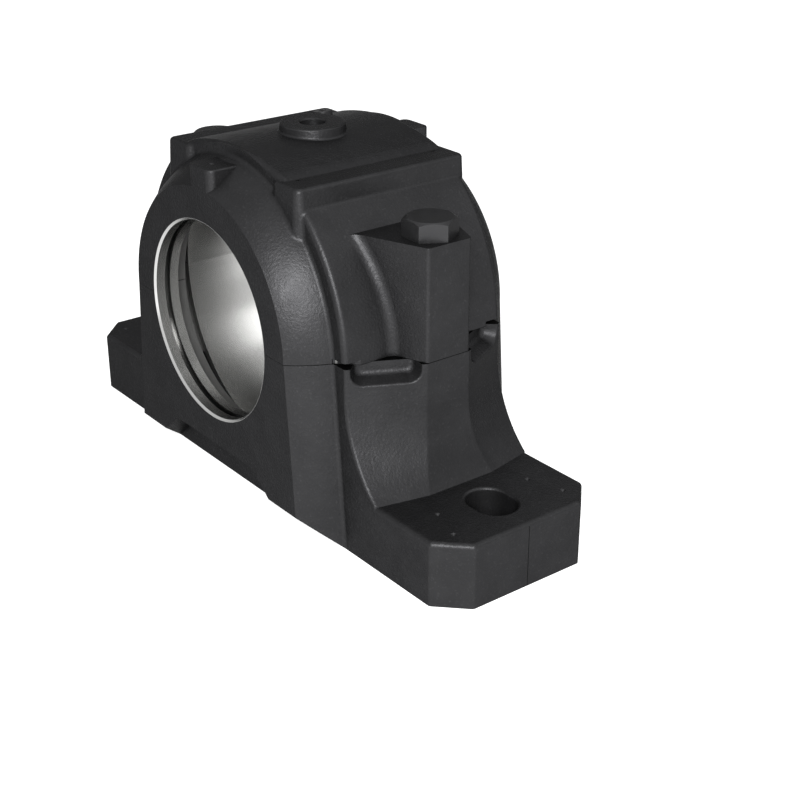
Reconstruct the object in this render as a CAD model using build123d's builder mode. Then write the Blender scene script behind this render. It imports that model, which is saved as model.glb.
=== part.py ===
"""Split plummer block: an empty two-part bearing housing with its cap bolts, pins and grease plug.

Origin: middle of the base's underside, below the bore. X runs from foot to foot, Y along the bore, Z up.
All sizes are in millimetres.
"""

import os
from math import cos, pi, radians, sin, sqrt

from build123d import *

# ---- bore and bearing seat -----------------------------------------------------------------------
seat_radius = 80.0
seat_width = 64.0
seat_floor = 19.0           # from the bottom of the seat to the underside
seal_bore_radius = 52.5
seal_wall = 14.2            # thickness of each end wall at the bore
seal_groove_offset = 6.0    # from the face to the seal groove
seal_groove_width = 3.2
seal_groove_depth = 4.5
bore_chamfer = 1.0
cavity_relief = 4.0         # cast clearance beside the seat, beyond the seat's radius
cavity_mouth_relief = 7.5   # narrower clearance behind the end wall, beyond the bore's radius
cavity_mouth_depth = 23.0   # from the face to where the clearance starts to widen
cavity_flare = 11.0         # length of that widening
sump_relief = 6.0           # grease pockets beside the seat, beyond the clearance's radius
sump_half_angle = 30.0      # of the pocket in the floor
sump_wall = 6.0             # the pockets stop this far short of the narrow clearance
side_sump_start = 36.0      # angles of the side pockets, down from the split
side_sump_end = 58.0

# ---- shell and collars ---------------------------------------------------------------------------
shell_wall = 12.6           # of the cylinder that cap and flanks follow, outside the seat
rim_radius = 2.8            # rounded rim of that cylinder
collar_span = 137.4         # over both collar faces
collar_wall = 17.8          # of the collar's face, outside the bore
shoulder_inset = 9.4        # the collar's domed shoulder ends this far inside the shell's cylinder
shoulder_crown = 1.2        # rise of the dome, measured from its straight line
shoulder_root_radius = 2.5

# ---- feet ----------------------------------------------------------------------------------------
foot_width = 97.5           # across the feet and the body, along Y
foot_thickness = 34.5
foot_reach = 61.5           # from the bolt body's end to the foot's end
foot_corner = 15.0          # 45 degree corner cut in plan
foot_edge_radius = 2.5
slot_offset = 34.0          # from the bolt body's end to the slot's centre
slot_length = 28.0
slot_width = 22.0
slot_lip = 1.4              # rounded lip of the cast slot

# ---- base ----------------------------------------------------------------------------------------
bolt_body_reach = 18.4      # the bolt bodies stand out this far beyond the shell's cylinder
bolt_body_width = 26.0      # of their end faces
body_edge_radius = 2.0
flank_curve = 64.0          # radius of the flank's run-out onto the foot
flank_drop = 15.0           # from the split down to the start of that run-out
end_curve = 75.0            # the same on the end face
end_drop = 25.0
end_spread = 14.0           # the end face grows this much wider at the foot
collar_draft = 0.075        # widening of the collar's sides per height
collar_foot = 18.0          # lowest point of the collar's face
notch_top = 30.0            # trapezoid cut under the collar
notch_top_width = 76.0
notch_slope = 1.15          # run over rise of the notch's sides
scoop_length = 35.0         # finger hollow below the split, along the bolt body's slanted side
scoop_height = 9.4
scoop_corner = 6.5
scoop_depth = 8.0
scoop_draft = 22.0
scoop_floor_radius = 3.0
scoop_lip = 1.2
core_width = 76.0           # cast hollows in the underside
core_corner = 6.0
core_draft = 5.0
outer_core_length = 24.0    # below the cap bolts
outer_core_depth = 42.0
inner_core_length = 34.0    # beside the grease pocket in the floor
inner_core_depth = 17.0
inner_core_gap = 9.0        # wall between both hollows
outer_core_shift = 6.0      # outwards from the cap bolts
run_out_sections = 6

# ---- cap -----------------------------------------------------------------------------------------
crest_radius = 150.0        # the arch is flatter between the pads
crest_drop = 4.2            # its crest lies this far inside the shell's cylinder
crest_blend = 30.0
pad_drop = 7.8              # the flat pads lie this far below the crest
pad_inner = 38.0
pad_outer = 60.0
pad_proud = 2.2             # the pads stand this far in front of the body's face
pad_draft = 3.0
pad_depth = 45.0            # height of the pads' drafted sides, down into the casting
pad_corner = 3.5
pad_edge_radius = 2.0
pad_root_radius = 3.0
collar_boss_proud = 11.1    # flat-topped boss above the collar's face
collar_boss_width = 20.4
collar_boss_corner = 4.0
collar_boss_edge = 1.0
pillar_rise = 58.0          # from the split to the cap bolt's seat
pillar_taper = 0.37         # widening of the pillar towards the shell
pillar_blend = 6.0
top_boss_proud = 4.4        # above the arch's crest
top_boss_radius = 16.9
top_boss_draft = 6.0
top_boss_sink = 5.0         # its side goes on this far below the crest
top_boss_edge = 0.9
top_boss_root = 1.2
grease_hole_radius = 6.58   # G 1/4
grease_hole_chamfer = 0.7
pry_slot_leg = 9.5
pry_slot_height = 2.6

# ---- fasteners -----------------------------------------------------------------------------------
bolt_wall = 15.0            # from the cap bolt's centre to the bolt body's end
bolt_size = 16.0
bolt_head_height = 9.6
bolt_across_flats = 24.0
bolt_crown_radius = 11.3    # of the head's flat top
bolt_crown_slope = 60.0     # of its bevel, from upright
bolt_point = 1.6
bolt_engagement = 36.0      # bolt in the base
bolt_turn = {"right": -2.0, "left": 11.0}
bolt_hole_clearance = 0.75  # radial, in the cap
thread_clearance = 0.05     # radial, between plain thread cylinders
bolt_hole_runout = 6.0      # tapped hole beyond the bolt's end
pin_diameter = 6.0
pin_length = 20.0
pin_inset = 6.0             # from the shell's cylinder to the pin
pin_offset_y = 24.0
pin_clearance = 0.02
pin_chamfer = 0.6
pin_end_gap = 1.0           # between a pin's end and the bottom of its hole
plug_offset_x = -22.0
plug_offset_y = 22.0
plug_size = 8.0
plug_head_radius = 5.2
plug_head_height = 4.6
plug_reach = 8.0            # threaded length in the cap
plug_socket = 4.0           # across flats
plug_socket_depth = 3.0
plug_flat = 0.9             # spot face below the shell's surface
spot_clearance = 0.4
dimple_radius = 1.5         # cast centre marks
dimple_depth = 1.3
dimple_tip = 0.2
pad_mark_inset_x = 14.0     # from the pad's outer side
pad_mark_inset_y = 9.7      # from the pad's end
foot_marks = [(33.4, 19.95), (14.3, 13.85)]  # from the foot's end and from its side
collar_mark_inset = 8.05

# ---- places that follow from the sizes -----------------------------------------------------------
axis_height = seat_radius + seat_floor         # the castings split at this height
shell_radius = seat_radius + shell_wall
crest_top = axis_height + shell_radius - crest_drop
cavity_radius = seat_radius + cavity_relief
cavity_mouth_radius = seal_bore_radius + cavity_mouth_relief
sump_radius = cavity_radius + sump_relief
collar_radius = seal_bore_radius + collar_wall
shoulder_rise = shell_radius - shoulder_inset - collar_radius
face_y = foot_width / 2                        # front and back of the body
collar_y = collar_span / 2
wall_y = collar_y - seal_wall                  # inner side of the end walls
seat_y = seat_width / 2
mouth_y = collar_y - cavity_mouth_depth        # inner end of the narrow clearance
cavity_y = mouth_y - cavity_flare
body_end = shell_radius + bolt_body_reach      # end face of the bolt bodies, from the middle
foot_end = body_end + foot_reach
slot_x = body_end + slot_offset
bolt_x = body_end - bolt_wall
pin_x = shell_radius - pin_inset
flank_curve_top = axis_height - flank_drop
end_curve_top = axis_height - end_drop
outer_core_x = bolt_x + outer_core_shift
inner_core_x = outer_core_x - (outer_core_length + inner_core_length) / 2 - inner_core_gap
pad_top = crest_top - pad_drop
collar_boss_top = axis_height + collar_radius + collar_boss_proud
pillar_top = axis_height + pillar_rise
shell_x_at_pillar_top = sqrt(shell_radius**2 - pillar_rise**2)
top_boss_height = crest_top + top_boss_proud
split_plane = Plane.XY.offset(axis_height)
bore_axis = Axis((0, 0, axis_height), (0, -1, 0))
crest_middle = crest_top - crest_radius        # height of the axis of the flatter arch
plug_rise = sqrt(crest_radius**2 - plug_offset_x**2)
plug_surface = Plane(
    (plug_offset_x, plug_offset_y, crest_middle + plug_rise),
    x_dir=(0, 1, 0),
    z_dir=(plug_offset_x, 0, plug_rise),
)
plug_seat = plug_surface.offset(-plug_flat)
both_ends = (-1, 1)
straight_down = 90.0                           # degrees below the split
cut_margin = 1.0                               # cuts go on this far past a surface
edge_match = 0.2                               # edges are picked by place to within this


def run_out(radius, top, height):
    """How far a vertical wall has curved outwards at a height below the top of its run-out."""
    drop = max(0.0, top - height)
    return radius - sqrt(radius**2 - drop**2)


def bore_section():
    """Half section of everything turned or cast open about the bore axis."""
    groove_y = collar_y - seal_groove_offset
    groove_radius = seal_bore_radius + seal_groove_depth
    with BuildSketch() as section:
        with BuildLine():
            Polyline(
                (0, 0),
                (0, -collar_y),
                (seal_bore_radius + bore_chamfer, -collar_y),
                (seal_bore_radius, bore_chamfer - collar_y),
                (seal_bore_radius, -groove_y),
                (groove_radius, -groove_y),
                (groove_radius, seal_groove_width - groove_y),
                (seal_bore_radius, seal_groove_width - groove_y),
                (seal_bore_radius, -wall_y),
                (cavity_mouth_radius, -wall_y),
                (cavity_mouth_radius, -mouth_y),
                (cavity_radius, -cavity_y),
                (cavity_radius, -seat_y),
                (seat_radius, -seat_y),
                (seat_radius, 0),
                (0, 0),
            )
        make_face()
        mirror(about=Plane.XZ)
    return section.sketch


def body_outline(height):
    """Plan of the base's body: straight flanks, slanted bolt bodies and flat ends."""
    flank_x = shell_radius + run_out(flank_curve, flank_curve_top, height)
    end_move = run_out(end_curve, end_curve_top, height)
    end_x = body_end + end_move
    full_move = run_out(end_curve, end_curve_top, foot_thickness)
    end_y = (bolt_body_width + end_spread * end_move / full_move) / 2
    with BuildSketch() as outline:
        with BuildLine():
            Polyline((0, -face_y), (flank_x, -face_y), (end_x, -end_y), (end_x, 0), (0, 0), close=True)
        make_face()
        mirror(about=Plane.XZ)
        mirror(about=Plane.YZ)
        corners = outline.vertices().filter_by(lambda v: abs(v.X) > flank_x - body_edge_radius)
        fillet(corners, body_edge_radius)
    return outline.sketch


def collar_section(half_width):
    """Both collars with their domed shoulders, on the +X side only, for a face of this half width."""
    shoulder_x = half_width + shoulder_rise
    inside_x = shoulder_x + 2 * shoulder_root_radius
    with BuildSketch() as section:
        with BuildLine():
            Polyline((0, 0), (0, -collar_y), (half_width, -collar_y))
            SagittaArc((half_width, -collar_y), (shoulder_x, -face_y), -shoulder_crown)
            Polyline((shoulder_x, -face_y), (inside_x, -face_y), (inside_x, 0), (0, 0))
        make_face()
        fillet(section.vertices().sort_by_distance((shoulder_x, -face_y))[0], shoulder_root_radius)
        mirror(about=Plane.XZ)
    return section.sketch


def collar_plan(half_width):
    """Plan of both collars with their shoulders, for a face of this half width."""
    with BuildSketch() as plan:
        add(collar_section(half_width))
        mirror(about=Plane.YZ)
    return plan.sketch


def sector(start, end):
    """Flat ring sector between the cavity and the sump radius, angles down from the +X side."""
    reach = 2 * sump_radius
    with BuildSketch() as ring:
        Circle(sump_radius)
        Circle(cavity_radius - cut_margin, mode=Mode.SUBTRACT)
        with BuildLine():
            Polyline(
                (0, 0),
                (reach * cos(radians(start)), -reach * sin(radians(start))),
                (reach * cos(radians((start + end) / 2)), -reach * sin(radians((start + end) / 2))),
                (reach * cos(radians(end)), -reach * sin(radians(end))),
                close=True,
            )
        make_face(mode=Mode.INTERSECT)
    return ring.sketch


def rims_scoop(edge, scoop_plane, depth):
    """Whether an edge runs round a scoop at this depth from the slanted side, below the split."""
    place = scoop_plane.to_local_coords(edge.center())
    inside = abs(place.X) < scoop_length / 2 and edge_match < abs(place.Y) < scoop_height + scoop_lip
    return inside and abs(place.Z - depth) < edge_match


def dimple():
    """Small cast centre mark, point down."""
    top_centre = (Align.CENTER, Align.CENTER, Align.MAX)
    Cone(dimple_tip, dimple_radius, dimple_depth, align=top_centre, mode=Mode.SUBTRACT)


# ---- housing base --------------------------------------------------------------------------------
with BuildPart() as housing_base:
    with BuildSketch():
        foot_plan = Rectangle(2 * foot_end, foot_width)
        chamfer(foot_plan.vertices(), foot_corner)
    extrude(amount=foot_thickness)
    fillet(housing_base.edges().filter_by(Axis.Z), foot_edge_radius)
    fillet(housing_base.faces().sort_by(Axis.Z)[-1].edges(), foot_edge_radius)
    with BuildSketch():
        with GridLocations(2 * slot_x, 0, 2, 1):
            SlotOverall(slot_length, slot_width)
    extrude(amount=foot_thickness, mode=Mode.SUBTRACT)
    slot_edges = housing_base.faces().sort_by(Axis.Z)[-1].inner_wires().edges()
    fillet(slot_edges, slot_lip)

    # body: foot plan, curved run-out, then the upright part up to the split
    with BuildSketch():
        add(body_outline(foot_thickness))
    extrude(amount=foot_thickness)
    run_out_height = flank_curve_top - foot_thickness
    for step in range(run_out_sections):
        height = foot_thickness + run_out_height * step / (run_out_sections - 1)
        with BuildSketch(Plane.XY.offset(height)):
            add(body_outline(height))
    loft()
    with BuildSketch(Plane.XY.offset(flank_curve_top)):
        add(body_outline(flank_curve_top))
    extrude(amount=axis_height - flank_curve_top)

    # collars, widening downwards
    with BuildSketch(split_plane):
        add(collar_plan(collar_radius))
    with BuildSketch():
        add(collar_plan(collar_radius + collar_draft * axis_height))
    loft(ruled=True)

    # each collar stops short of the ground, with a slanted underside and a notch
    bevel_slope = collar_foot / (collar_y - face_y)
    reach = collar_y - face_y + cut_margin
    for end in both_ends:
        with BuildSketch(Plane.YZ):
            with BuildLine():
                Polyline(
                    (end * face_y, 0),
                    (end * (face_y + reach), bevel_slope * reach),
                    (end * (face_y + reach), -cut_margin),
                    (end * face_y, -cut_margin),
                    close=True,
                )
            make_face()
        extrude(amount=foot_end, both=True, mode=Mode.SUBTRACT)
        with BuildSketch(Plane.XZ.offset(-end * face_y)):
            with BuildLine():
                half_top = notch_top_width / 2
                half_foot = half_top + notch_slope * notch_top
                Polyline(
                    (-half_foot, 0),
                    (-half_top, notch_top),
                    (half_top, notch_top),
                    (half_foot, 0),
                    close=True,
                )
            make_face()
        extrude(amount=-end * reach, mode=Mode.SUBTRACT)

    # finger hollows in the bolt bodies' slanted sides, just below the split
    slant = Vector(body_end - shell_radius, bolt_body_width / 2 - face_y)
    for side_x in both_ends:
        for side_y in both_ends:
            scoop_middle = (
                side_x * (body_end + shell_radius) / 2,
                side_y * (face_y + bolt_body_width / 2) / 2,
                axis_height,
            )
            scoop_plane = Plane(
                scoop_middle,
                x_dir=(side_x * slant.X, side_y * slant.Y),
                z_dir=(side_x * slant.Y, -side_y * slant.X),
            )
            with BuildSketch(scoop_plane):
                RectangleRounded(scoop_length, 2 * scoop_height, scoop_corner)
            extrude(amount=scoop_depth, taper=scoop_draft, mode=Mode.SUBTRACT)
            for depth, radius in ((scoop_depth, scoop_floor_radius), (0, scoop_lip)):
                rim = housing_base.edges().filter_by(lambda edge: rims_scoop(edge, scoop_plane, depth))
                fillet(rim, radius)

    # bore, seat and grease pockets
    with BuildSketch(split_plane):
        add(bore_section())
    revolve(axis=bore_axis, mode=Mode.SUBTRACT)
    pockets = [
        (side_sump_start, side_sump_end),
        (straight_down - sump_half_angle, straight_down + sump_half_angle),
        (2 * straight_down - side_sump_end, 2 * straight_down - side_sump_start),
    ]
    for start, end_angle in pockets:
        for end in both_ends:
            pocket_plane = Plane((0, end * seat_y, axis_height), x_dir=(1, 0, 0), z_dir=(0, -1, 0))
            with BuildSketch(pocket_plane):
                add(sector(start, end_angle))
            extrude(amount=-end * (mouth_y - sump_wall - seat_y), mode=Mode.SUBTRACT)

    # tapped holes, pin holes, hollows in the underside and cast marks
    with Locations(split_plane):
        with GridLocations(2 * bolt_x, 0, 2, 1):
            Hole(bolt_size / 2 + thread_clearance, bolt_engagement + bolt_hole_runout)
        with Locations((pin_x, pin_offset_y), (-pin_x, -pin_offset_y)):
            Hole(pin_diameter / 2 + pin_clearance, pin_length / 2 + pin_end_gap)
    cores = [
        (outer_core_x, outer_core_length, outer_core_depth),
        (inner_core_x, inner_core_length, inner_core_depth),
    ]
    for core_x, core_length, core_depth in cores:
        with BuildSketch():
            with GridLocations(2 * core_x, 0, 2, 1):
                RectangleRounded(core_length, core_width, core_corner)
        extrude(amount=core_depth, taper=core_draft, mode=Mode.SUBTRACT)
    for inset_x, inset_y in foot_marks:
        with Locations(Location((0, 0, foot_thickness))):
            with GridLocations(2 * (foot_end - inset_x), 2 * (face_y - inset_y), 2, 2):
                dimple()

# ---- housing cap ---------------------------------------------------------------------------------
# arch: the shell's cylinder, flatter at its crest, with rounded rims
with BuildPart() as arch:
    with BuildSketch(Plane.XZ) as arch_profile:
        with Locations((0, axis_height)):
            Circle(shell_radius)
        with Locations((0, crest_middle)):
            Circle(crest_radius, mode=Mode.INTERSECT)
        with Locations((0, axis_height)):
            Rectangle(2 * shell_radius, shell_radius, align=(Align.CENTER, Align.MIN), mode=Mode.INTERSECT)
        fillet(arch_profile.vertices().group_by(Axis.Y)[-1], crest_blend)
    extrude(amount=face_y, both=True)
    fillet(arch.faces().filter_by(Axis.Y).edges().filter_by(GeomType.CIRCLE), rim_radius)

# flat pads either side of the crest, and a flat-topped boss on each collar
with BuildPart() as pads:
    with BuildSketch(Plane.XY.offset(pad_top)):
        with GridLocations(pad_inner + pad_outer, 0, 2, 1):
            RectangleRounded(pad_outer - pad_inner, 2 * (face_y + pad_proud), pad_corner)
    extrude(amount=-pad_depth, taper=-pad_draft)
    fillet(pads.faces().group_by(Axis.Z)[-1].edges(), pad_edge_radius)

    boss_depth = collar_y - face_y + 2 * collar_boss_corner
    with BuildSketch(split_plane):
        with GridLocations(0, 2 * collar_y - boss_depth, 1, 2):
            RectangleRounded(collar_boss_width, boss_depth, collar_boss_corner)
    extrude(amount=collar_boss_top - axis_height)
    fillet(pads.faces().group_by(Axis.Z)[-1].edges(), collar_boss_edge)

with BuildPart() as housing_cap:
    add(arch.part)

    # bolt pillars
    pillar_root = shell_x_at_pillar_top - pillar_blend
    root_width = bolt_body_width + 2 * pillar_taper * (body_end - pillar_root)
    with BuildSketch(split_plane):
        with BuildLine():
            Polyline(
                (0, root_width / 2),
                (pillar_root, root_width / 2),
                (body_end, bolt_body_width / 2),
                (body_end, -bolt_body_width / 2),
                (pillar_root, -root_width / 2),
                (0, -root_width / 2),
                close=True,
            )
        pillar_plan = make_face()
        fillet(pillar_plan.vertices().group_by(Axis.X)[-1], body_edge_radius)
        mirror(about=Plane.YZ)
    extrude(amount=pillar_rise)
    pillar_roots = housing_cap.edges().filter_by(
        lambda edge: edge.geom_type != GeomType.LINE
        and abs(edge.center().X) > shell_x_at_pillar_top
        and abs(edge.center().Y) < root_width / 2
        and edge.center().Z < pillar_top - pillar_blend
        and edge.length > pillar_rise / 2
    )
    fillet(pillar_roots, pillar_blend)

    # collars with their shoulders
    with BuildSketch(split_plane):
        add(collar_section(collar_radius))
    revolve(axis=bore_axis, revolution_arc=180)
    add(pads.part)
    pad_roots = housing_cap.edges().filter_by(
        lambda edge: edge.length > face_y
        and pad_outer < abs(edge.center().X) < pad_outer + pad_root_radius
        and pillar_top < edge.center().Z < pad_top - 2 * pad_edge_radius
    )
    fillet(pad_roots, pad_root_radius)

    # top boss
    with BuildSketch(Plane.XY.offset(top_boss_height)):
        Circle(top_boss_radius)
    extrude(amount=-(top_boss_proud + top_boss_sink), taper=-top_boss_draft)
    fillet(housing_cap.faces().sort_by(Axis.Z)[-1].edges(), top_boss_edge)
    boss_roots = housing_cap.edges().filter_by(
        lambda edge: edge.geom_type != GeomType.CIRCLE
        and edge.length > 2 * pi * top_boss_radius
        and pad_top < edge.center().Z < crest_top
    )
    fillet(boss_roots, top_boss_root)

    # bore and seat
    with BuildSketch(split_plane):
        add(bore_section())
    revolve(axis=bore_axis, mode=Mode.SUBTRACT)

    # grease holes, bolt holes, pin holes, pry slots and cast marks
    with Locations((0, 0, top_boss_height)):
        Hole(grease_hole_radius, top_boss_proud + shell_wall + cavity_relief)
    chamfer(housing_cap.faces().sort_by(Axis.Z)[-1].inner_wires().edges(), grease_hole_chamfer)
    with Locations(plug_surface):
        plug_hole_radius = plug_size / 2 + thread_clearance
        CounterBoreHole(plug_hole_radius, plug_head_radius + spot_clearance, plug_flat, 2 * shell_wall)
    with Locations((0, 0, pillar_top)):
        with GridLocations(2 * bolt_x, 0, 2, 1):
            Hole(bolt_size / 2 + bolt_hole_clearance, pillar_rise)
    with Locations(Location((0, 0, axis_height + pin_length / 2 + pin_end_gap))):
        with Locations((pin_x, pin_offset_y), (-pin_x, -pin_offset_y)):
            Hole(pin_diameter / 2 + pin_clearance, pin_length / 2 + pin_end_gap)
    with BuildSketch(split_plane):
        with BuildLine():
            Polyline(
                (shell_radius - pry_slot_leg, face_y + cut_margin),
                (shell_radius - pry_slot_leg, face_y),
                (shell_radius, face_y - pry_slot_leg),
                (shell_radius + cut_margin, face_y - pry_slot_leg),
                (shell_radius + cut_margin, face_y + cut_margin),
                close=True,
            )
        make_face()
        mirror(about=Plane.XZ)
        mirror(about=Plane.YZ)
    extrude(amount=pry_slot_height, mode=Mode.SUBTRACT)
    pad_mark_x = pad_outer - pad_mark_inset_x
    pad_mark_y = face_y + pad_proud - pad_mark_inset_y
    with Locations(Location((0, 0, pad_top))):
        with GridLocations(2 * pad_mark_x, 2 * pad_mark_y, 2, 2):
            dimple()
    with Locations(Location((0, 0, collar_boss_top))):
        with GridLocations(0, 2 * (collar_y - collar_mark_inset), 1, 2):
            dimple()

# ---- fasteners -----------------------------------------------------------------------------------
bolts = {}
for side, sign in (("right", 1), ("left", -1)):
    with BuildPart() as bolt:
        seat = Plane((sign * bolt_x, 0, pillar_top))
        with BuildSketch(seat):
            RegularPolygon(bolt_across_flats / 2, 6, major_radius=False, rotation=bolt_turn[side])
        extrude(amount=bolt_head_height)
        with BuildSketch(seat.offset(bolt_head_height)):
            Circle(bolt_crown_radius)
        extrude(amount=-bolt_head_height, taper=-bolt_crown_slope, mode=Mode.INTERSECT)
        with BuildSketch(seat):
            Circle(bolt_size / 2)
        extrude(amount=-(pillar_rise + bolt_engagement))
        chamfer(bolt.faces().sort_by(Axis.Z)[0].edges(), bolt_point)
    bolt.part.label = "cap_bolt_" + side
    bolts[side] = bolt.part

with BuildPart() as grease_plug:
    with BuildSketch(plug_seat):
        Circle(plug_head_radius)
    extrude(amount=plug_head_height)
    with BuildSketch(plug_seat):
        Circle(plug_size / 2)
    extrude(amount=-plug_reach)
    with BuildSketch(plug_seat.offset(plug_head_height)):
        RegularPolygon(plug_socket / 2, 6, major_radius=False)
    extrude(amount=-plug_socket_depth, mode=Mode.SUBTRACT)
grease_plug.part.label = "grease_plug"

pins = {}
for place, sign in (("rear", 1), ("front", -1)):
    with BuildPart() as pin:
        with BuildSketch(Plane((sign * pin_x, sign * pin_offset_y, axis_height - pin_length / 2))):
            Circle(pin_diameter / 2)
        extrude(amount=pin_length)
        chamfer(pin.edges().filter_by(GeomType.CIRCLE), pin_chamfer)
    pin.part.label = "locating_pin_" + place
    pins[place] = pin.part

housing_base.part.label = "housing_base"
housing_cap.part.label = "housing_cap"
pieces = [housing_base.part, housing_cap.part, *bolts.values(), *pins.values(), grease_plug.part]
os.makedirs("parts", exist_ok=True)
for piece in pieces:
    export_step(piece, f"parts/{piece.label}.step")
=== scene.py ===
"""Looks of the split plummer block: painted casting, turned bore, bolts, pins and grease plug."""

import math

import bpy
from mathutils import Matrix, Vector


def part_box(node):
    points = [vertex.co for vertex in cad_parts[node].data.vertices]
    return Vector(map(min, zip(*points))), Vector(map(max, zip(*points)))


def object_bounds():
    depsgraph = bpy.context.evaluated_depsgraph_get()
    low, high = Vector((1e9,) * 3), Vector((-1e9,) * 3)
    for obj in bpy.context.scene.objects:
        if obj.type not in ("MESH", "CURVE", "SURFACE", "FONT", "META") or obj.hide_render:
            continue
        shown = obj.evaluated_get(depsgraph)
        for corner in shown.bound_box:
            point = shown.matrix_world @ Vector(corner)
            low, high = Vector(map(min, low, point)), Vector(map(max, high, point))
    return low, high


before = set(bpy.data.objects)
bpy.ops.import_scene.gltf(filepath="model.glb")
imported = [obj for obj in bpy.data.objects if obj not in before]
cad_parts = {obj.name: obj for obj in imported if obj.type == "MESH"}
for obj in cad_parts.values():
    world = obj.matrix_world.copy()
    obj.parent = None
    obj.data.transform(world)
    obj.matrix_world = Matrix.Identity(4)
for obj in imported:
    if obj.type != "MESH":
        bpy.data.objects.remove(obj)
cad_low, cad_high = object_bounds()

MM = 0.001

# ---- where the surfaces of the castings lie ------------------------------------------------------
# The bore's axis runs along Y at this height. Base and cap meet at the same height.
AXIS_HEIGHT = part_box("housing_base")[1].z
COLLAR_END = cad_high.y
FOOT_END = cad_high.x

# Distances from the bore's axis, each just beyond the surface that it has to take in.
LAND_RADIUS = 53.6 * MM
GROOVE_RADIUS = 57.6 * MM
SEAT_RADIUS = 80.4 * MM
SEAT_INNER_RADIUS = 79.2 * MM
CAVITY_RADIUS = 84.6 * MM
CAVITY_MOUTH_RADIUS = 60.6 * MM

# Distances from the middle along Y, and from the collars' faces inwards.
SEAT_REACH = 32.2 * MM
CAVITY_REACH = 48.0 * MM
CHAMFER = 1.05 * MM
END_WALL = 14.5 * MM
GROOVE_SOFT = 0.1 * MM

# Half widths of the drawn lines, and how deep the parting line's faces are taken in.
JOINT_HALF = 0.1 * MM
PARTING_HALF = 0.12 * MM
PARTING_DEPTH = 0.2 * MM

# ---- colours, in 8 bit sRGB ----------------------------------------------------------------------
PAINT_DARK = (46, 46, 47)
PAINT_PALE = (49, 49, 50)
GRAIN_TOP = (76, 76, 77)
# painted light: a pale grey for the cavity inside the housing, lifting the shade that falls there
CAVITY_PAINTED_LIGHT = (104, 104, 103)
JOINT_DARK = (18, 18, 18)
SEAT_DARK = (206, 206, 204)
SEAT_PALE = (210, 210, 208)
LAND_STEEL = (182, 182, 181)
# painted shade: the seal grooves' floors take a darker steel than the lands, for the shade in these
# recesses
GROOVE_PAINTED_SHADE = (120, 120, 119)
OXIDE_DARK = (52, 52, 53)
OXIDE_PALE = (57, 57, 58)
GROUND_DARK = (150, 150, 148)
GROUND_PALE = (180, 180, 178)

# ---- grain sizes, and the spans of the noise values that are used --------------------------------
SAND_GRAIN = 1.3 * MM
MOULD_LUMPS = 7 * MM
PAINT_MOTTLE = 16 * MM
TURNING_MARKS = 0.35 * MM
OXIDE_WEAR = 3 * MM
OXIDE_FINE = 0.4 * MM
GRINDING_MARKS = 0.3 * MM
COMMON_SPAN = (0.3, 0.7)
MOTTLE_SPAN = (0.35, 0.65)
GRAIN_TOP_SPAN = (0.55, 0.8)
TURNING_SPAN = (0.2, 0.8)
GRAIN_TOP_SHARE = 0.35
GRAIN_IN_RELIEF, LUMPS_IN_RELIEF = 0.55, 0.45

# ---- metal, roughness and relief; a relief is its depth and its strength -------------------------
PAINT_METALLIC = 0.8
OXIDE_METALLIC = 0.75
EDGE_LEVEL = 0.1
EDGE_TINT = (0.2, 0.2, 0.2, 1.0)
PAINT_ROUGHNESS = (0.42, 0.46)
TURNED_ROUGHNESS = (0.23, 0.25)
OXIDE_ROUGHNESS = (0.34, 0.46)
GROUND_ROUGHNESS = (0.25, 0.35)
CAST_RELIEF = (0.4 * MM, 0.8)
JOINT_RELIEF = (0.3 * MM, 0.8)
TURNED_RELIEF = (0.001 * MM, 0.15)
OXIDE_RELIEF = (0.05 * MM, 0.4)
GROUND_RELIEF = (0.02 * MM, 0.4)

# ---- camera, floor and light ---------------------------------------------------------------------
AZIMUTH, ELEVATION = math.radians(52.14), math.radians(25.28)
DISTANCE = 0.76791
TARGET = Vector((0.07262, 0, 0.06179))
LENS = 67.47
FLOOR_REACH = 8.0
FLOOR_HEIGHT = -0.3 * MM
FLOOR_GREY = (0.8, 0.8, 0.8, 1)
FLOOR_ROUGHNESS = 0.9
WHITE = (1, 1, 1, 1)
FLOOR_GLOW = 0.65
SKY_LIGHT = 0.5


def colour(levels):
    """A colour given in 8 bit sRGB, as the linear RGBA that the shader takes."""
    linear = []
    for level in levels:
        v = level / 255
        linear.append(v / 12.92 if v <= 0.04045 else ((v + 0.055) / 1.055) ** 2.4)
    return (*linear, 1.0)


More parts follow.
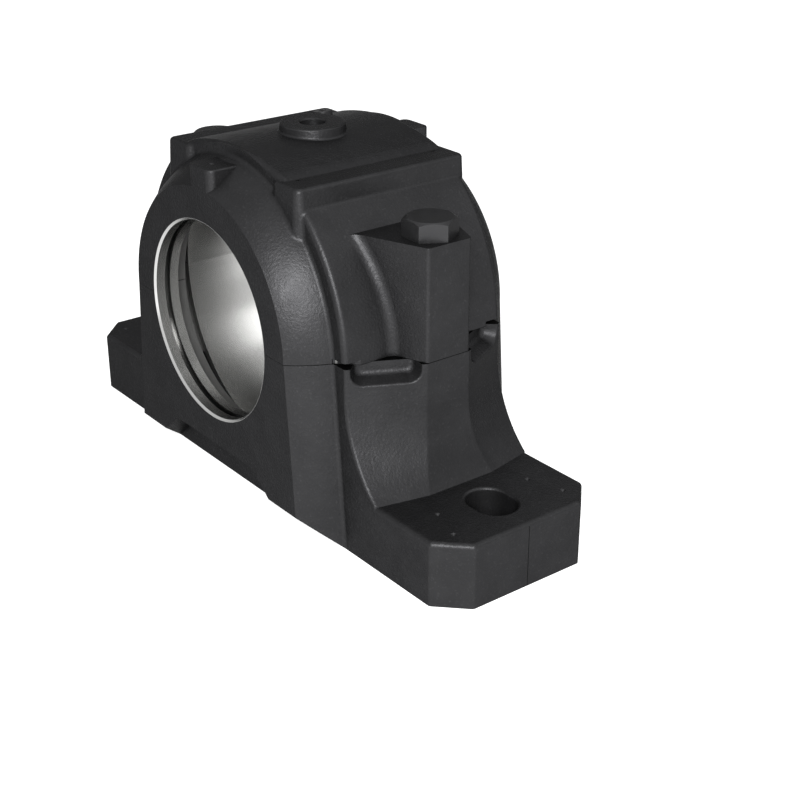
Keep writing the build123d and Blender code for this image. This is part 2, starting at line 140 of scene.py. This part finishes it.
class Graph:
    """The nodes of a material or a world, with short calls for those used here."""

    def __init__(self, owner, output):
        owner.use_nodes = True
        self.tree = owner.node_tree
        self.shader = self.tree.nodes[output]

    def node(self, kind, **settings):
        made = self.tree.nodes.new(kind)
        for key, value in settings.items():
            setattr(made, key, value)
        return made

    def link(self, value, socket):
        """Link a socket to this one, or write a constant on it."""
        if isinstance(value, bpy.types.NodeSocket):
            self.tree.links.new(value, socket)
        else:
            socket.default_value = value

    def math(self, operation, *values, clamp=False):
        made = self.node("ShaderNodeMath", operation=operation, use_clamp=clamp)
        for value, socket in zip(values, made.inputs):
            self.link(value, socket)
        return made.outputs[0]

    def below(self, value, limit):
        return self.math("LESS_THAN", value, limit)

    def above(self, value, limit):
        return self.math("GREATER_THAN", value, limit)

    def both(self, first, second):
        return self.math("MULTIPLY", first, second)

    def either(self, first, second):
        return self.math("MAXIMUM", first, second)

    def opposite(self, mask):
        return self.math("SUBTRACT", 1.0, mask)

    def place(self):
        """The point on the object, in metres in the object's own frame."""
        return self.node("ShaderNodeTexCoord").outputs["Object"]

    def noise(self, place, size, detail=2.0, roughness=0.5):
        """Noise with grains about this size across, in metres."""
        made = self.node("ShaderNodeTexNoise")
        self.link(place, made.inputs["Vector"])
        made.inputs["Scale"].default_value = 1 / size
        made.inputs["Detail"].default_value = detail
        made.inputs["Roughness"].default_value = roughness
        return made.outputs["Fac"]

    def ramp(self, value, low, high, start=0.0, end=1.0):
        """From start to end while value goes from low to high, eased at both ends."""
        made = self.node("ShaderNodeMapRange", interpolation_type="SMOOTHSTEP")
        self.link(value, made.inputs["Value"])
        names = ("From Min", "From Max", "To Min", "To Max")
        for name, number in zip(names, (low, high, start, end)):
            self.link(number, made.inputs[name])
        return made.outputs[0]

    def band(self, value, low, high, soft):
        """1 where value lies between low and high, falling to 0 over soft."""
        rise = self.ramp(value, low - soft, low)
        fall = self.ramp(value, high, high + soft)
        return self.math("SUBTRACT", rise, fall, clamp=True)

    def line(self, value, centre, half):
        """A soft line across value, which fades over another half width on each side."""
        return self.band(value, centre - half, centre + half, half)

    def mix_numbers(self, factor, first, second):
        made = self.node("ShaderNodeMix", data_type="FLOAT")
        # The node lists its float sockets first.
        for value, index in ((factor, 0), (first, 2), (second, 3)):
            self.link(value, made.inputs[index])
        return made.outputs[0]

    def mix_colours(self, factor, first, second):
        made = self.node("ShaderNodeMix", data_type="RGBA")
        # The colour sockets come after those for floats and vectors.
        for value, index in ((factor, 0), (first, 6), (second, 7)):
            self.link(value, made.inputs[index])
        return made.outputs[2]

    def bump(self, height, relief, under=None):
        made = self.node("ShaderNodeBump")
        made.inputs["Distance"].default_value, made.inputs["Strength"].default_value = relief
        self.link(height, made.inputs["Height"])
        if under is not None:
            self.link(under, made.inputs["Normal"])
        return made.outputs[0]

    def seen_rays(self):
        """1 for what the camera, a reflection or a clear part sees, 0 for the light that falls."""
        rays = self.node("ShaderNodeLightPath").outputs
        seen = self.either(rays["Is Camera Ray"], rays["Is Glossy Ray"])
        return self.either(seen, rays["Is Transmission Ray"])

    def dark_edges(self):
        """Keep the surface dark at grazing angles, as the photo shows it."""
        self.shader.inputs["Specular IOR Level"].default_value = EDGE_LEVEL
        self.shader.inputs["Specular Tint"].default_value = EDGE_TINT


def surface(name):
    """A new material and its graph."""
    material = bpy.data.materials.new(name)
    return material, Graph(material, "Principled BSDF")


def casting():
    """Dark painted grey iron, sand cast, with its bore lands, grooves and bearing seat bare."""
    material, g = surface("cast_iron_painted")
    place = g.place()
    split = g.node("ShaderNodeSeparateXYZ")
    g.link(place, split.inputs[0])
    x, y, z = split.outputs
    height = g.math("SUBTRACT", z, AXIS_HEIGHT)
    squares = g.math("ADD", g.math("MULTIPLY", x, x), g.math("MULTIPLY", height, height))
    radius = g.math("SQRT", squares)
    reach = g.math("ABSOLUTE", y)

    # bare metal: the collars' lands, the seal grooves and the bearing seat
    collar = g.below(radius, LAND_RADIUS)
    in_groove = g.below(radius, GROOVE_RADIUS)
    groove_shade_mask = g.both(in_groove, g.above(radius, LAND_RADIUS))
    groove_reach = g.band(reach, COLLAR_END - END_WALL, COLLAR_END - 2 * CHAMFER, GROOVE_SOFT)
    land = g.either(collar, g.both(in_groove, groove_reach))
    seat = g.both(g.below(radius, SEAT_RADIUS), g.below(reach, SEAT_REACH))
    seat = g.both(seat, g.above(radius, SEAT_INNER_RADIUS))
    bare = g.either(land, seat)

    # the cavity, lightened with painted light: the clearance beside the seat and its narrower mouth
    # behind the end walls
    cavity_light_mask = g.both(g.below(radius, CAVITY_RADIUS), g.below(reach, CAVITY_REACH))
    cavity_light_mask = g.either(cavity_light_mask, g.below(radius, CAVITY_MOUTH_RADIUS))
    cavity_light_mask = g.both(cavity_light_mask, g.below(reach, COLLAR_END - CHAMFER))

    # paint: sand grain, slow unevenness of the mould and a little mottling, and a pale grey painted
    # inside the cavity as painted light that lifts the shade there
    grain = g.noise(place, SAND_GRAIN, detail=3.0, roughness=0.6)
    lumps = g.noise(place, MOULD_LUMPS)
    mottle = g.noise(place, PAINT_MOTTLE, detail=5.0, roughness=0.6)
    paint = g.mix_colours(g.ramp(mottle, *MOTTLE_SPAN), colour(PAINT_DARK), colour(PAINT_PALE))
    tops = g.ramp(grain, *GRAIN_TOP_SPAN, 0.0, GRAIN_TOP_SHARE)
    paint = g.mix_colours(tops, paint, colour(GRAIN_TOP))
    # painted light: the cavity's walls take a pale grey in place of the shade inside
    paint = g.mix_colours(cavity_light_mask, paint, colour(CAVITY_PAINTED_LIGHT))

    # lines: the joint between base and cap, and the pattern's parting line on the feet's ends
    joint = g.both(g.line(z, AXIS_HEIGHT, JOINT_HALF), g.opposite(bare))
    foot_end = g.above(g.math("ABSOLUTE", x), FOOT_END - PARTING_DEPTH)
    joint = g.either(joint, g.both(g.line(y, 0.0, PARTING_HALF), foot_end))
    paint = g.mix_colours(joint, paint, colour(JOINT_DARK))

    # bare metal has turning marks round the bore
    rings = g.node("ShaderNodeCombineXYZ")
    g.link(radius, rings.inputs[0])
    g.link(y, rings.inputs[1])
    turned = g.noise(rings.outputs[0], TURNING_MARKS, detail=1.0)
    steel = g.mix_colours(turned, colour(SEAT_DARK), colour(SEAT_PALE))
    steel = g.mix_colours(land, steel, colour(LAND_STEEL))
    # painted shade: the groove floors are darkened, standing in for the shade inside the seal grooves
    steel = g.mix_colours(groove_shade_mask, steel, colour(GROOVE_PAINTED_SHADE))

    inputs = g.shader.inputs
    g.link(g.mix_colours(bare, paint, steel), inputs["Base Color"])
    g.link(g.mix_numbers(bare, PAINT_METALLIC, 1.0), inputs["Metallic"])
    g.dark_edges()
    rough_paint = g.ramp(lumps, *COMMON_SPAN, *PAINT_ROUGHNESS)
    rough_steel = g.ramp(turned, *TURNING_SPAN, *TURNED_ROUGHNESS)
    g.link(g.mix_numbers(bare, rough_paint, rough_steel), inputs["Roughness"])

    fine = g.math("MULTIPLY", grain, GRAIN_IN_RELIEF)
    coarse = g.math("MULTIPLY", lumps, LUMPS_IN_RELIEF)
    cast = g.bump(g.both(g.math("ADD", fine, coarse), g.opposite(bare)), CAST_RELIEF)
    sunk = g.bump(g.opposite(joint), JOINT_RELIEF, cast)
    g.link(g.bump(g.both(turned, bare), TURNED_RELIEF, sunk), inputs["Normal"])
    return material


def fastener():
    """Blackened steel of the cap bolts and the grease plug."""
    material, g = surface("black_oxide_steel")
    place = g.place()
    wear = g.noise(place, OXIDE_WEAR, detail=3.0)
    fine = g.noise(place, OXIDE_FINE)
    inputs = g.shader.inputs
    g.link(g.mix_colours(wear, colour(OXIDE_DARK), colour(OXIDE_PALE)), inputs["Base Color"])
    inputs["Metallic"].default_value = OXIDE_METALLIC
    g.dark_edges()
    g.link(g.ramp(wear, *COMMON_SPAN, *OXIDE_ROUGHNESS), inputs["Roughness"])
    g.link(g.bump(fine, OXIDE_RELIEF), inputs["Normal"])
    return material


def pin_steel():
    """Ground steel of the locating pins."""
    material, g = surface("ground_steel")
    marks = g.noise(g.place(), GRINDING_MARKS)
    inputs = g.shader.inputs
    g.link(g.mix_colours(marks, colour(GROUND_DARK), colour(GROUND_PALE)), inputs["Base Color"])
    inputs["Metallic"].default_value = 1.0
    g.link(g.ramp(marks, *COMMON_SPAN, *GROUND_ROUGHNESS), inputs["Roughness"])
    g.link(g.bump(marks, GROUND_RELIEF), inputs["Normal"])
    return material


def put_in_scene(name, data):
    made = bpy.data.objects.new(name, data)
    bpy.context.scene.collection.objects.link(made)
    return made


def turn(thing, direction):
    """Point a camera or a lamp this way, with its top up."""
    thing.rotation_mode = "QUATERNION"
    thing.rotation_quaternion = direction.to_track_quat("-Z", "Y")


def area_lamp(name, place, aim, side, power):
    """A square lamp with this side in metres and this power in watts."""
    data = bpy.data.lights.new(name, "AREA")
    data.shape = "RECTANGLE"
    data.size = data.size_y = side
    data.energy = power
    lamp = put_in_scene(name, data)
    lamp.location = place
    turn(lamp, Vector(aim) - Vector(place))


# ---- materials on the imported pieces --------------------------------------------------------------
iron, oxide, ground = casting(), fastener(), pin_steel()
looks = {
    "housing_base": iron,
    "housing_cap": iron,
    "cap_bolt_right": oxide,
    "cap_bolt_left": oxide,
    "grease_plug": oxide,
    "locating_pin_front": ground,
    "locating_pin_rear": ground,
}
for name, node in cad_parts.items():
    node.data.materials.clear()
    node.data.materials.append(looks[name])

# ---- camera --------------------------------------------------------------------------------------
back = Vector(
    (
        math.sin(AZIMUTH) * math.cos(ELEVATION),
        -math.cos(AZIMUTH) * math.cos(ELEVATION),
        math.sin(ELEVATION),
    )
)
view = bpy.data.cameras.new("camera")
view.lens = LENS
camera = put_in_scene("camera", view)
camera.location = TARGET + back * DISTANCE
turn(camera, -back)
bpy.context.scene.camera = camera

# ---- floor and world: white where seen, and plainer light where they shine -----------------------
corners = [(-1, -1), (1, -1), (1, 1), (-1, 1)]
mesh = bpy.data.meshes.new("floor")
mesh.from_pydata([(x * FLOOR_REACH, y * FLOOR_REACH, 0) for x, y in corners], [], [(0, 1, 2, 3)])
floor = put_in_scene("floor", mesh)
floor.location.z = FLOOR_HEIGHT
pale, g = surface("pale_floor")
g.shader.inputs["Base Color"].default_value = FLOOR_GREY
g.shader.inputs["Roughness"].default_value = FLOOR_ROUGHNESS
g.shader.inputs["Specular IOR Level"].default_value = 0.0
g.shader.inputs["Emission Color"].default_value = WHITE
g.link(g.math("MULTIPLY", g.seen_rays(), FLOOR_GLOW), g.shader.inputs["Emission Strength"])
mesh.materials.append(pale)

world = bpy.data.worlds.new("studio")
bpy.context.scene.world = world
g = Graph(world, "Background")
g.shader.inputs["Color"].default_value = WHITE
g.link(g.ramp(g.seen_rays(), 0.0, 1.0, SKY_LIGHT, 1.0), g.shader.inputs["Strength"])

# ---- lamps: a soft key by the camera, a weak one above, and one behind for the seat --------------
area_lamp("key", (0.87, -0.70, 0.63), (0.05, 0, 0.1), 0.4, 22)
area_lamp("top", (0.3, 0.2, 1.5), (0.1, 0, 0.0), 0.9, 3)
area_lamp("rear", (1.07, 0.93, 0.98), (0, 0, 0.1), 0.7, 2.2)

bpy.context.scene.view_settings.view_transform = "Standard"
